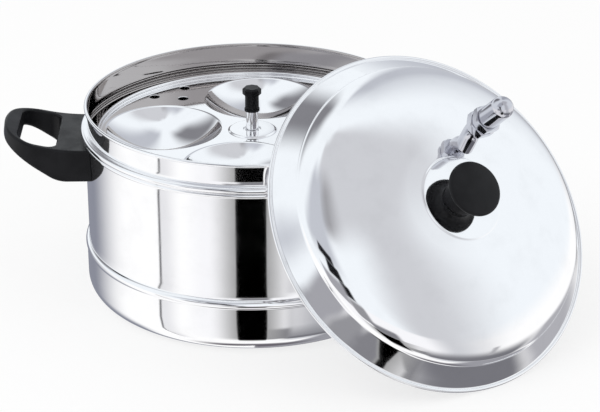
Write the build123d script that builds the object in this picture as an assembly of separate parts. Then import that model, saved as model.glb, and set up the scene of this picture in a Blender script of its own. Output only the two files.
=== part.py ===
from build123d import *
from math import asin, cos, degrees, hypot, pi, radians, sin, sqrt, tan
import os

os.makedirs("parts", exist_ok=True)

# Idli steamer: a two-handled steel pot, a stack of four four-cup idli plates on a lift-out stand,
# and a domed lid with a knob and a whistle, taken off and leaning beside the pot.
# Millimetres, +Z up, the origin in the middle of the pot's base, the handles along X.

# Common sizes
overrun = 5.0
seat_gap = 0.2
turning_gap = 0.1

# Pot shell
pot_sheet = 0.8
pot_height = 130.2
body_radius = 110.3
rim_step = 0.2
rim_roll = 1.5
neck_step = 1.7
neck_height = 14.8
low_bead_step = 1.8
low_bead_height = 2.8
high_bead_step = 2.7
high_bead_height = 4.5
bead_valley_step = 0.6
ring_step = 2.4
ring_bottom = 32.2
ring_height = 5.2
band_step = 1.6
base_corner = 12.0

# Handles
handle_reach = 56.7
handle_width = 72.0
handle_end_bulge = 11.5
handle_corner = 27.0
handle_depth = 20.6
handle_top_rise = 13.6
handle_side_angle = 8.0
handle_underside_start = 16.6
handle_underside_angle = 33.0
handle_bend_radius = 22.0
handle_bar = 19.5
handle_side_bar = 9.5
handle_tip_bar = 16.0
handle_round = 1.5
grip_draft_angle = 4.0
grip_inner_corner = 5.0
grip_outer_corner = 9.5
bracket_width = 30.0
bracket_height = 14.0
bracket_sheet = 1.5
boss_radius = 4.5
boss_length = 8.0
handle_screw_radius = 2.4
screw_head_radius = 4.5
screw_head_height = 3.0
screw_slot_width = 1.0
screw_slot_depth = 1.0
screw_recess = 1.5

# Lid
lid_sheet = 0.8
lid_overhang = 1.7
lid_roll = 1.5
skirt_foot_inset = 2.4
skirt_flare = 7.6
skirt_height = 11.0
shoulder_inset = 3.6
shoulder_rise = 8.5
dome_edge_inset = 10.6
dome_edge_rise = 8.8
dome_rise = 12.7
dome_start_slope = -2.0
seat_radius = 26.7
seat_step = 0.5
lid_lean_angle = 48.8
lid_facing_angle = -56.8
lid_bearing_angle = -40.1
lean_gap = 0.24
floor_gap = 0.1
lean_samples = 720
lean_rounds = 40

# Lid knob
knob_radius = 17.6
knob_height = 18.6
knob_crown = 3.4
knob_edge = 2.0
knob_neck_radius = 10.0
knob_foot_step = 1.6
knob_ring_step = 1.0
knob_ring_height = 5.6
knob_ring_round = 0.9
knob_screw_radius = 2.4
knob_screw_depth = 11.0
washer_radius = 7.0
washer_sheet = 1.0

# Vent pipe and whistle
vent_bearing_angle = -31.5
pipe_radius = 5.8
pipe_wall = 1.2
pipe_seat_margin = 10.8
pipe_root_depth = 9.0
pipe_slope_angle = 52.0
pipe_bend = 16.0
pipe_run_out = 6.5
pipe_rise = 20.9
nut_crown_angle = 30.0
collar_flats = 16.4
collar_height = 5.8
whistle_flats = 16.4
whistle_hex_height = 5.0
whistle_neck_wall = 2.0
whistle_neck_height = 1.6
nozzle_radius = 4.4
nozzle_height = 7.0
nozzle_bevel = 1.4
orifice_radius = 1.4
cap_radius = 7.2
cap_wall = 1.2
cap_straight = 15.2
cap_seat_gap = 0.3
pin_radius = 1.2
pin_head_radius = 3.4
pin_head_height = 3.0

# Idli stand
plate_sheet = 0.8
plate_margin = 4.5
plate_roll = 1.2
plate_rise = 1.6
plate_count = 4
plate_drop = 21.9
first_plate_level = 33.3
plate_turn_angle = -6.0
plate_stagger_angle = 45.0
cup_count = 4
cup_edge_margin = 5.5
cup_web = 6.44
cup_depth = 16.5
cup_lip = 2.5
cup_brim = 2.0
hub_radius = 14.8
hub_rise = 1.2
hub_play = 1.65
steam_hole_radius = 3.55
steam_outer_inset = 11.5
steam_inner_inset = 27.7
steam_spread_angle = 8.2
rod_radius = 4.05
rod_wall = 0.9
rod_rise = 14.0
rivet_radius = 6.0
rivet_height = 1.2
spacer_bearing = 0.8
stand_base_radius = 30.0
stand_base_height = 7.0
stand_base_sheet = 1.0
stand_base_round = 3.0

# Stem knob
sleeve_step = 0.5
sleeve_length = 11.7
sleeve_lip_step = 0.45
sleeve_lip_height = 1.6
stem_cap_step = 1.65
stem_cap_height = 4.5
stem_cap_sides = 8
stem_cap_bevel = 1.1
stud_radius = 2.4
stud_reach = 12.0
stud_grip = 8.0

# Places that follow from the sizes above
rim_radius = body_radius + rim_step
neck_radius = body_radius - neck_step
band_radius = body_radius + band_step
ring_top = ring_bottom + ring_height
bead_valley_radius = body_radius + bead_valley_step
bead_top = pot_height - neck_height
bead_valley = bead_top - high_bead_height
bead_bottom = bead_valley - low_bead_height
handle_top = bead_bottom - seat_gap
handle_bottom = handle_top - handle_depth
handle_tip = body_radius + handle_reach
handle_root = sqrt(body_radius**2 - (handle_width / 2) ** 2) - overrun
handle_screw_height = (handle_top + handle_bottom) / 2
grip_start = body_radius + handle_bar
grip_end = handle_tip - handle_tip_bar
handle_screw_seat = grip_start - screw_recess - screw_head_height
lid_radius = rim_radius + lid_overhang
skirt_foot_radius = lid_radius - skirt_foot_inset
skirt_top_radius = skirt_foot_radius - skirt_flare
shoulder_radius = skirt_top_radius - shoulder_inset
shoulder_height = skirt_height + shoulder_rise
dome_edge_radius = shoulder_radius - dome_edge_inset
dome_edge_height = shoulder_height + dome_edge_rise
lid_height = dome_edge_height + dome_rise
knob_edge_height = knob_height - knob_crown
pipe_root_radius = seat_radius + pipe_seat_margin
pipe_offset = pipe_root_radius + pipe_run_out
pipe_top = lid_height + pipe_rise
whistle_bottom = pipe_top - whistle_neck_height
collar_bottom = whistle_bottom - collar_height
whistle_hex_top = pipe_top + whistle_hex_height
nozzle_top = whistle_hex_top + nozzle_height
cap_bottom = whistle_hex_top + cap_seat_gap
plate_radius = rim_radius - 2 * rim_roll - plate_margin
top_plate_level = pot_height - plate_drop
plate_pitch = (top_plate_level - first_plate_level) / (plate_count - 1)
half_gap_angle = 180 / cup_count
cup_reach = plate_radius - cup_edge_margin
cup_ring_radius = (cup_reach + cup_web / 2) / (1 + sin(radians(half_gap_angle)))
cup_radius = cup_reach - cup_ring_radius
hub_hole_radius = rod_radius + hub_play
spacer_radius = hub_hole_radius + spacer_bearing
rod_top = top_plate_level + rod_rise
sleeve_radius = rod_radius + sleeve_step


def sheet_face(curves, thickness, side):
    """Close a run of curves in the XY plane into a strip of even thickness."""
    path = Wire(curves)
    return make_face(offset(path, amount=thickness, side=side, closed=True).edges())


def turned(face):
    """Revolve a face drawn as radius and height about the Z axis."""
    return revolve(Plane.XZ * face, axis=Axis.Z)


def crown_arc(half_width, edge_height, top_height):
    """An arc from an edge up to the axis, centred on the axis."""
    rise = top_height - edge_height
    radius = (half_width**2 + rise**2) / (2 * rise)
    reach = degrees(asin(half_width / radius))
    return CenterArc((0, top_height - radius), radius, 90 - reach, reach)


def ring(radius, height, section_radius):
    """A rolled edge: a round ring lying flat at a height."""
    return Pos(0, 0, height) * Torus(radius, section_radius)


def tube(outer, inner, bottom, top):
    """A straight tube on the Z axis between two heights."""
    section = Circle(outer) - Circle(inner)
    return extrude(Pos(0, 0, bottom) * section, top - bottom)


def rod(radius, bottom, top):
    """A straight solid bar on the Z axis between two heights."""
    return extrude(Pos(0, 0, bottom) * Circle(radius), top - bottom)


def slotted_screw(shank_radius, shank_length):
    """A slotted screw on the Z axis, its shank up and the seat of its head at zero."""
    shank = rod(shank_radius, 0, shank_length)
    head = rod(screw_head_radius, -screw_head_height, 0)
    slot = Pos(0, 0, -screw_head_height) * Box(
        2 * screw_head_radius + overrun, screw_slot_width, 2 * screw_slot_depth
    )
    return shank + head - slot


def pot_shell():
    """The pressed pot: rounded base, foot band, swaged beads, neck and rolled rim."""
    base = Line((0, 0), (band_radius - base_corner, 0))
    corner = TangentArc(base @ 1, (band_radius, base_corner), tangent=base % 1)
    band = Line(corner @ 1, (band_radius, ring_bottom))
    ring_middle = (ring_bottom + ring_top) / 2
    foot_ring = ThreePointArc(
        band @ 1, (body_radius + ring_step, ring_middle), (body_radius, ring_top)
    )
    body = Line(foot_ring @ 1, (body_radius, bead_bottom))
    low_middle = (bead_bottom + bead_valley) / 2
    low_bead = ThreePointArc(
        body @ 1, (body_radius + low_bead_step, low_middle), (bead_valley_radius, bead_valley)
    )
    high_middle = (bead_valley + bead_top) / 2
    high_bead = ThreePointArc(
        low_bead @ 1, (body_radius + high_bead_step, high_middle), (bead_valley_radius, bead_top)
    )
    ledge = Line(high_bead @ 1, (neck_radius, bead_top))
    roll_height = pot_height - rim_roll
    neck = Line(ledge @ 1, (neck_radius, roll_height))
    curves = [base, corner, band, foot_ring, body, low_bead, high_bead, ledge, neck]
    shell = turned(sheet_face(curves, pot_sheet, Side.LEFT))
    return shell + ring(rim_radius - rim_roll, roll_height, rim_roll)


def handle_plan():
    """The handle's outline from above: straight sides, rounded corners and a bowed end."""
    half_width = handle_width / 2
    end_start = handle_tip - handle_end_bulge
    plan = make_face(
        [
            Line((handle_root, half_width), (handle_root, -half_width)),
            Line((handle_root, -half_width), (end_start, -half_width)),
            ThreePointArc((end_start, -half_width), (handle_tip, 0), (end_start, half_width)),
            Line((end_start, half_width), (handle_root, half_width)),
        ]
    )
    return fillet(plan.vertices().group_by(Axis.X)[-1], handle_corner)


def handle_profile():
    """The handle from the side: an arched top, and an underside that bends up to the tip."""
    inner = handle_root - overrun
    top_start = (body_radius, handle_top)
    top_arc = TangentArc(top_start, (handle_tip, handle_top + handle_top_rise), tangent=(1, 0))
    slope = radians(handle_underside_angle)
    bend = body_radius + handle_underside_start
    tangent_length = handle_bend_radius * tan(slope / 2)
    flat = Line((inner, handle_bottom), (bend - tangent_length, handle_bottom))
    turn_end = (
        bend + tangent_length * cos(slope),
        handle_bottom + tangent_length * sin(slope),
    )
    turn = TangentArc(flat @ 1, turn_end, tangent=flat % 1)
    rise = Line(turn @ 1, (handle_tip, handle_bottom + (handle_tip - bend) * tan(slope)))
    return make_face(
        [
            flat,
            turn,
            rise,
            Line(rise @ 1, top_arc @ 1),
            top_arc,
            Line(top_start, (inner, handle_top)),
            Line((inner, handle_top), flat @ 0),
        ]
    )


def handle_blank():
    """The handle's outer form along +X, its sides drawn in towards the top."""
    height = handle_depth + handle_top_rise
    block = extrude(Pos(0, 0, handle_bottom) * handle_plan(), height, taper=handle_side_angle)
    return block & extrude(Plane.XZ * handle_profile(), handle_width, both=True)


def finger_hole():
    """The opening for the fingers, wider at the top as the mould's draft makes it."""
    half_width = handle_width / 2 - handle_side_bar
    plan = make_face(
        Polyline(
            (grip_start, -half_width),
            (grip_end, -half_width),
            (grip_end, half_width),
            (grip_start, half_width),
            close=True,
        )
    )
    plan = fillet(plan.vertices().group_by(Axis.X)[0], grip_inner_corner)
    plan = fillet(plan.vertices().group_by(Axis.X)[-1], grip_outer_corner)
    height = handle_depth + handle_top_rise + 2 * overrun
    return extrude(Pos(0, 0, handle_bottom - overrun) * plan, height, taper=-grip_draft_angle)


def runs_level(edge):
    """Whether an edge of the handle runs round its top or bottom, outside the pot's wall."""
    outside = edge.center().X > handle_root + overrun
    return outside and abs((edge % 0.5).Z) < cos(radians(45))


def handle():
    """A moulded loop handle along +X with a hole for the fingers and rounded edges."""
    body = handle_blank() - finger_hole()
    body = fillet(body.edges().filter_by(runs_level), handle_round)
    body = body - rod(body_radius + seat_gap, handle_bottom - overrun, handle_tip)
    body = body - bracket(seat_gap)
    middle = (grip_start + grip_end) / 2
    screw_hole = rod(handle_screw_radius + seat_gap, body_radius, middle)
    sink = rod(screw_head_radius + seat_gap, handle_screw_seat, middle)
    return body - across(screw_hole + sink)


def across(shape):
    """Lay a piece drawn along +Z along +X, at the height of the handle's screw."""
    return Pos(0, 0, handle_screw_height) * Rot(0, 90, 0) * shape


def bracket(gap=0.0):
    """The welded handle bracket: a curved pad on the wall and a threaded boss."""
    outer = body_radius + bracket_sheet + gap
    pad = tube(outer, body_radius, handle_screw_height - bracket_height / 2 - gap,
               handle_screw_height + bracket_height / 2 + gap)
    width = bracket_width + 2 * gap
    window = Pos(outer, 0, handle_screw_height) * Box(outer, width, bracket_height + 2 * overrun)
    boss_end = body_radius + bracket_sheet + boss_length + gap
    middle = body_radius + bracket_sheet / 2
    boss = across(rod(boss_radius + gap, middle, boss_end))
    piece = (pad & window) + boss
    if gap:
        return piece
    return piece - across(rod(handle_screw_radius, middle, boss_end + overrun))


def handle_screw():
    """The screw from the finger hole into the bracket's boss."""
    length = handle_screw_seat - body_radius - bracket_sheet
    screw = Rot(180, 0, 0) * slotted_screw(handle_screw_radius, length)
    return across(Pos(0, 0, handle_screw_seat) * screw)


# Lid pieces are drawn with the lid's rim on Z = 0 and its axis along +Z
def lid_dome_curves():
    """The lid's outer outline from its middle to the foot of the skirt."""
    seat = Line((0, lid_height), (seat_radius, lid_height))
    step = Line(seat @ 1, (seat_radius + seat_step, lid_height - seat_step))
    slope = radians(dome_start_slope)
    dome = TangentArc(
        step @ 1, (dome_edge_radius, dome_edge_height), tangent=(cos(slope), sin(slope))
    )
    turn = TangentArc(dome @ 1, (shoulder_radius, shoulder_height), tangent=dome % 1)
    shoulder = TangentArc(turn @ 1, (skirt_top_radius, skirt_height), tangent=turn % 1)
    skirt = Line(shoulder @ 1, (skirt_foot_radius, lid_roll))
    return [seat, step, dome, turn, shoulder, skirt]


def lid_shell():
    """The domed lid with a flat knob seat, a flared skirt and a rolled rim."""
    shell = turned(sheet_face(lid_dome_curves(), lid_sheet, Side.RIGHT))
    shell = shell + ring(lid_radius - lid_roll, lid_roll, lid_roll)
    shell = shell - rod(knob_screw_radius + seat_gap, 0, lid_height + overrun)
    return shell - vent_pipe_solid()


def lid_knob():
    """The mushroom knob: foot, waist with a raised ring, and a low crowned cap."""
    under = knob_edge_height - knob_edge
    foot_radius = knob_neck_radius + knob_foot_step
    waist_height = knob_ring_height - knob_ring_round
    ring_top_height = knob_ring_height + knob_ring_round
    crown = crown_arc(knob_radius - knob_edge, knob_edge_height + knob_edge, knob_height)
    outline = make_face(
        [
            Line((0, 0), (foot_radius, 0)),
            Line((foot_radius, 0), (knob_neck_radius, waist_height)),
            ThreePointArc(
                (knob_neck_radius, waist_height),
                (knob_neck_radius + knob_ring_step, knob_ring_height),
                (knob_neck_radius, ring_top_height),
            ),
            RadiusArc(
                (knob_neck_radius, ring_top_height),
                (knob_radius - knob_edge, under),
                knob_radius - knob_neck_radius,
            ),
            ThreePointArc(
                (knob_radius - knob_edge, under),
                (knob_radius, knob_edge_height),
                (knob_radius - knob_edge, knob_edge_height + knob_edge),
            ),
            crown,
            Line((0, knob_height), (0, 0)),
        ]
    )
    knob = turned(outline) - rod(knob_screw_radius + seat_gap, -overrun, knob_screw_depth + seat_gap)
    return Pos(0, 0, lid_height) * knob


def knob_washer():
    """The washer between the lid's underside and the knob screw's head."""
    top = lid_height - lid_sheet
    return tube(washer_radius, knob_screw_radius + seat_gap, top - washer_sheet, top)


def knob_screw():
    """The slotted screw that holds the knob from inside the lid."""
    head_seat = lid_height - lid_sheet - washer_sheet
    length = lid_sheet + washer_sheet + knob_screw_depth
    return Pos(0, 0, head_seat) * slotted_screw(knob_screw_radius, length)


def pipe_path():
    """The vent pipe's centre line: up through the dome on a slope, then upright."""
    slope = radians(pipe_slope_angle)
    run_end_radius = pipe_offset - pipe_bend * (1 - sin(slope))
    root_height = dome_height_at(pipe_root_radius)
    run_end_height = root_height + (run_end_radius - pipe_root_radius) * sin(slope) / cos(slope)
    start_radius = pipe_root_radius - pipe_root_depth * cos(slope)
    start_height = root_height - pipe_root_depth * sin(slope)
    run = Line((start_radius, 0, start_height), (run_end_radius, 0, run_end_height))
    bend_top = run_end_height + pipe_bend * cos(slope)
    bend = TangentArc(run @ 1, (pipe_offset, 0, bend_top), tangent=run % 1)
    upright = Line(bend @ 1, (pipe_offset, 0, pipe_top))
    return Wire([run, bend, upright])


def dome_height_at(radius):
    """The height of the lid's dome, as a circle arc, at a radius inside its edge."""
    dome = lid_dome_curves()[2]
    centre = dome.arc_center
    return centre.Y + (dome.radius**2 - (radius - centre.X) ** 2) ** (1 / 2)


def vent_pipe_solid(radius=pipe_radius):
    """The vent pipe's outer form, or its bore, at the lid's own bearing."""
    path = pipe_path()
    section = Plane(origin=path @ 0, z_dir=path % 0) * Circle(radius)
    return Rot(0, 0, vent_bearing_angle) * sweep(section, path)


def vent_pipe():
    """The bent tube that carries the steam to the whistle."""
    return vent_pipe_solid() - vent_pipe_solid(pipe_radius - pipe_wall)


def on_vent(shape):
    """Move a piece drawn on the Z axis onto the upright end of the vent pipe."""
    return Rot(0, 0, vent_bearing_angle) * Pos(pipe_offset, 0, 0) * shape


def hexagon_nut(flats, bottom, height):
    """A hexagonal bar on the Z axis whose corners are turned down at both ends."""
    section = RegularPolygon(flats / 2, 6, major_radius=False)
    bar = extrude(section, height)
    on_floor = (Align.CENTER, Align.CENTER, Align.MIN)
    reach = flats / 2 + height / tan(radians(nut_crown_angle))
    upper_crown = Cone(reach, flats / 2, height, align=on_floor)
    lower_crown = Cone(flats / 2, reach, height, align=on_floor)
    return Pos(0, 0, bottom) * (bar & upper_crown & lower_crown)


def vent_collar():
    """The hexagonal lock nut near the top of the vent pipe."""
    nut = hexagon_nut(collar_flats, collar_bottom, collar_height)
    return on_vent(nut - rod(pipe_radius, collar_bottom - overrun, pipe_top + overrun))


def whistle_body():
    """The whistle's seat: a neck and hexagon screwed on the pipe, with a steam nozzle."""
    neck = rod(pipe_radius + whistle_neck_wall, whistle_bottom, pipe_top)
    hexagon = hexagon_nut(whistle_flats, pipe_top, whistle_hex_height)
    nozzle = rod(nozzle_radius, whistle_hex_top, nozzle_top)
    nozzle = chamfer(nozzle.edges().sort_by(Axis.Z)[-1], nozzle_bevel)
    socket = rod(pipe_radius, whistle_bottom - overrun, pipe_top)
    orifice = rod(orifice_radius, whistle_bottom, nozzle_top + overrun)
    return on_vent(neck + hexagon + nozzle - socket - orifice)


def whistle_cap():
    """The bullet-shaped whistle weight, hollow over the nozzle."""
    straight_top = cap_bottom + cap_straight
    outer = rod(cap_radius, cap_bottom, straight_top) + Pos(0, 0, straight_top) * Sphere(cap_radius)
    bore_radius = cap_radius - cap_wall
    bore_top = nozzle_top + pin_head_height + cap_seat_gap
    bore = rod(bore_radius, cap_bottom - overrun, bore_top)
    return on_vent(outer - bore)


def whistle_pin():
    """The valve pin under the weight, its stem hanging in the nozzle."""
    head_bottom = nozzle_top + cap_seat_gap
    head = rod(pin_head_radius, head_bottom, head_bottom + pin_head_height)
    stem = rod(pin_radius, whistle_hex_top, head_bottom)
    return on_vent(head + stem)


def lid_plane(distance):
    """Where the lid leans, its dome facing away from the pot, at a distance from the pot's axis."""
    facing = radians(lid_facing_angle)
    tilt = radians(lid_lean_angle)
    normal = Vector(cos(facing) * sin(tilt), sin(facing) * sin(tilt), cos(tilt))
    uphill = Vector(-cos(facing) * cos(tilt), -sin(facing) * cos(tilt), sin(tilt))
    bearing = radians(lid_bearing_angle)
    drop = lid_roll * cos(tilt)
    centre = Vector(
        distance * cos(bearing),
        distance * sin(bearing),
        (lid_radius - lid_roll) * sin(tilt) + lid_roll - drop + floor_gap,
    )
    return Plane(origin=centre, x_dir=uphill, z_dir=normal)


def rim_clearance(distance):
    """The least gap between the lid's rolled rim and the pot's, the lid at a distance."""
    place = lid_plane(distance)
    lid_ring = lid_radius - lid_roll
    gaps = []
    for sample in range(lean_samples):
        turn = 2 * pi * sample / lean_samples
        along = place.x_dir * (lid_ring * cos(turn)) + place.y_dir * (lid_ring * sin(turn))
        point = place.origin + along + place.z_dir * lid_roll
        outward = hypot(point.X, point.Y) - (rim_radius - rim_roll)
        upward = point.Z - (pot_height - rim_roll)
        gaps.append(hypot(outward, upward) - rim_roll - lid_roll)
    return min(gaps)


def leaning_distance():
    """Bring the lid in by its own gap to the pot until only the lean gap is left."""
    distance = rim_radius + lid_radius
    for _ in range(lean_rounds):
        distance = distance - rim_clearance(distance) + lean_gap
    return distance


def plate_level(index):
    """The height of a plate's flat top, the plates being counted from the lowest."""
    return top_plate_level - (plate_count - 1 - index) * plate_pitch


def cup():
    """One idli cup hanging from Z = 0, with a rounded lip and a narrow flat brim."""
    bowl_radius = (cup_radius**2 + cup_depth**2) / (2 * cup_depth)
    reach = degrees(asin(cup_radius / bowl_radius))
    bowl = CenterArc((0, bowl_radius - cup_depth), bowl_radius, -90, reach)
    brim = Line(bowl @ 1, (cup_radius + cup_brim, 0))
    path = Wire([bowl, brim])
    corner = path.vertices().filter_by(lambda v: abs(v.X - cup_radius) < cup_lip / 2)
    rounded = path.fillet_2d(cup_lip, corner)
    return turned(sheet_face(rounded.edges(), plate_sheet, Side.RIGHT))


def idli_plate(index):
    """A pressed plate with four cups, a raised hub and three steam holes between cups."""
    level = plate_level(index)
    roll_radius = plate_radius - plate_roll
    hub = Line((hub_hole_radius, hub_rise), (hub_radius, hub_rise))
    step = Line(hub @ 1, (hub_radius + hub_rise, 0))
    flat = Line(step @ 1, (roll_radius - plate_rise, 0))
    turn_up = Line(flat @ 1, (roll_radius, plate_rise))
    disc = turned(sheet_face([hub, step, flat, turn_up], plate_sheet, Side.RIGHT))
    disc = disc + ring(roll_radius, plate_rise, plate_roll)
    cups = PolarLocations(cup_ring_radius, cup_count)
    for place in cups:
        disc = disc - place * rod(cup_radius + cup_brim, -overrun, overrun)
    for place in cups:
        disc = disc + place * cup()
    outer_ring = plate_radius - steam_outer_inset
    for turn in range(cup_count):
        middle = half_gap_angle * (2 * turn + 1)
        steam_places = [
            (plate_radius - steam_inner_inset, middle),
            (outer_ring, middle - steam_spread_angle),
            (outer_ring, middle + steam_spread_angle),
        ]
        for distance, angle in steam_places:
            hole = Rot(0, 0, angle) * Pos(distance, 0, 0) * rod(steam_hole_radius, -overrun, overrun)
            disc = disc - hole
    stagger = plate_turn_angle + plate_stagger_angle * ((plate_count - 1 - index) % 2)
    return Pos(0, 0, level) * Rot(0, 0, stagger) * disc


def spacer(index):
    """The loose tube that carries a plate; the lowest one stands on the stand's base."""
    top = plate_level(index) + hub_rise - plate_sheet
    bottom = plate_level(index - 1) + hub_rise if index else pot_sheet + stand_base_height
    return tube(spacer_radius, rod_radius + turning_gap, bottom, top)


def stand_base():
    """The round pressed foot of the stand."""
    top = pot_sheet + stand_base_height
    corner_radius = stand_base_radius - stand_base_round
    cover = Line((rod_radius, top), (corner_radius, top))
    corner = TangentArc(cover @ 1, (stand_base_radius, top - stand_base_round), tangent=cover % 1)
    wall = Line(corner @ 1, (stand_base_radius, pot_sheet))
    return turned(sheet_face([cover, corner, wall], stand_base_sheet, Side.RIGHT))


def stand_rod():
    """The centre tube through the plates, flared under the base as a rivet."""
    base_underside = pot_sheet + stand_base_height - stand_base_sheet
    bore = rod_radius - rod_wall
    rivet = tube(rivet_radius, bore, base_underside - rivet_height, base_underside)
    return tube(rod_radius, bore, base_underside, rod_top) + rivet


def stem_knob():
    """The moulded lifting knob on the rod: a lipped sleeve under a faceted cap."""
    sleeve_top = rod_top + sleeve_length
    sleeve = rod(sleeve_radius, rod_top, sleeve_top)
    lip = rod(sleeve_radius + sleeve_lip_step, rod_top, rod_top + sleeve_lip_height)
    cap_section = RegularPolygon(sleeve_radius + stem_cap_step, stem_cap_sides)
    cap = extrude(Pos(0, 0, sleeve_top) * cap_section, stem_cap_height)
    cap = chamfer(cap.faces().sort_by(Axis.Z)[-1].edges(), stem_cap_bevel)
    return sleeve + lip + cap - rod(stud_radius, rod_top - overrun, rod_top + stud_grip)


def stem_stud():
    """The threaded stud that joins the knob to the rod."""
    return rod(stud_radius, rod_top - stud_reach, rod_top + stud_grip)


def build():
    """Every piece by the name of its node."""
    pieces = {"pot_shell": pot_shell()}
    for name, turn in (("right", 0), ("left", 180)):
        pieces["handle_" + name] = Rot(0, 0, turn) * handle()
        pieces["handle_bracket_" + name] = Rot(0, 0, turn) * bracket()
        pieces["handle_screw_" + name] = Rot(0, 0, turn) * handle_screw()
    lid_pieces = {
        "lid_shell": lid_shell(),
        "lid_knob": lid_knob(),
        "knob_washer": knob_washer(),
        "knob_screw": knob_screw(),
        "vent_pipe": vent_pipe(),
        "vent_collar": vent_collar(),
        "whistle_body": whistle_body(),
        "whistle_cap": whistle_cap(),
        "whistle_pin": whistle_pin(),
    }
    place = lid_plane(leaning_distance()).location
    for name, piece in lid_pieces.items():
        pieces[name] = place * piece
    pieces["stand_base"] = stand_base()
    pieces["stand_rod"] = stand_rod()
    for index in range(plate_count):
        pieces[f"spacer_{index + 1}"] = spacer(index)
        pieces[f"idli_plate_{index + 1}"] = idli_plate(index)
    pieces["stem_knob"] = stem_knob()
    pieces["stem_stud"] = stem_stud()
    return pieces


for node, solid in build().items():
    export_step(solid, f"parts/{node}.step")
    print(node, round(solid.volume, 1))
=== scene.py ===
"""The looks of an idli steamer: a mirror-polished pot with two moulded handles, its lift-out
stand of cupped plates, and its domed lid with knob and whistle, leaning beside the pot.

Sizes of the pieces are millimetres in the object's own frame: +Z up, the origin in the middle
of the pot's base, the handles along X and the viewer on the -Y side. The finishes, the camera
and the studio are in metres.
"""

from __future__ import annotations

import logging
import math
from dataclasses import dataclass
from enum import Enum
from typing import Sequence

import bpy
import numpy as np
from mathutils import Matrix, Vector
from mathutils.geometry import delaunay_2d_cdt

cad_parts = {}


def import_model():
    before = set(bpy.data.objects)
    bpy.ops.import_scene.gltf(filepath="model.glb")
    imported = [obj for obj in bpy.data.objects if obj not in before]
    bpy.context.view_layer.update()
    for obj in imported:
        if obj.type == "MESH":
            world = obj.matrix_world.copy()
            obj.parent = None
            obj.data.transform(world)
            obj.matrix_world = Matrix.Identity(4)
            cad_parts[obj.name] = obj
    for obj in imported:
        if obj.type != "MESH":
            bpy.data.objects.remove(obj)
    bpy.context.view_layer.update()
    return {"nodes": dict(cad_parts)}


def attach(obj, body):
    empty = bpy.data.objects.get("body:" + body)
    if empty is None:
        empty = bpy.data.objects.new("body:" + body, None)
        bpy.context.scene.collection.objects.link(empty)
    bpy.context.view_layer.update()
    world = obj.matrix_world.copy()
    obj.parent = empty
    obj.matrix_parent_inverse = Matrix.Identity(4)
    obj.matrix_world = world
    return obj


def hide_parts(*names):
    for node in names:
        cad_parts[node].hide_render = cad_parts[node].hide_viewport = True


LOG = logging.getLogger("idli_steamer")
MILLIMETRE = 0.001
FULL_TURN = 2 * math.pi
UP, DOWN = math.pi / 2, 1.5 * math.pi  # directions, in radians
ARC_INSET = 1 - math.sqrt(0.5)  # from a corner's square to its round of radius 1, along an axis
MERGE_STEPS = 1e5  # steps in a millimetre by which points are told apart
PURE_WHITE = (1.0, 1.0, 1.0, 1.0)
CUT_REACH = 1e-6  # millimetres within which the cut of a plate's web takes points as one


# Sockets and materials


class Socket:
    """A shader value whose arithmetic adds Math nodes."""

    def __init__(self, graph: Graph, link: bpy.types.NodeSocket) -> None:
        """Wrap an output socket of a graph."""
        self.graph = graph
        self.link = link

    def _math(self, operation: str, *values: Value) -> Socket:
        """One Math node on some values."""
        return self.graph.node("Math", dict(enumerate(values)), {"operation": operation})

    def __add__(self, other: Value) -> Socket:
        """The sum."""
        return self._math("ADD", self, other)

    __radd__ = __add__

    def __mul__(self, other: Value) -> Socket:
        """The product."""
        return self._math("MULTIPLY", self, other)

    __rmul__ = __mul__

    def angle_with(self, other: Value) -> Socket:
        """The angle whose tangent is this value over the other, in radians."""
        return self._math("ARCTAN2", self, other)

    def elevation(self) -> Socket:
        """The angle whose sine is this value, in radians."""
        return self._math("ARCSINE", self)

    def step(self, start: float, end: float) -> Socket:
        """A smooth step from 0 at start to 1 at end.

        Args:
            start: the value where the step begins.
            end: the value where it ends, above or below start.

        Returns:
            The step's height.
        """
        (low, first), (high, last) = sorted(((start, 0.0), (end, 1.0)))
        heights = {"From Min": low, "From Max": high, "To Min": first, "To Max": last}
        smooth = {"interpolation_type": "SMOOTHSTEP"}
        return self.graph.node("MapRange", {"Value": self, **heights}, smooth)


Value = Socket | float
Material = bpy.types.Material
Pair = tuple[float, float]
Triple = tuple[float, float, float]
Colour = Triple


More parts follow.
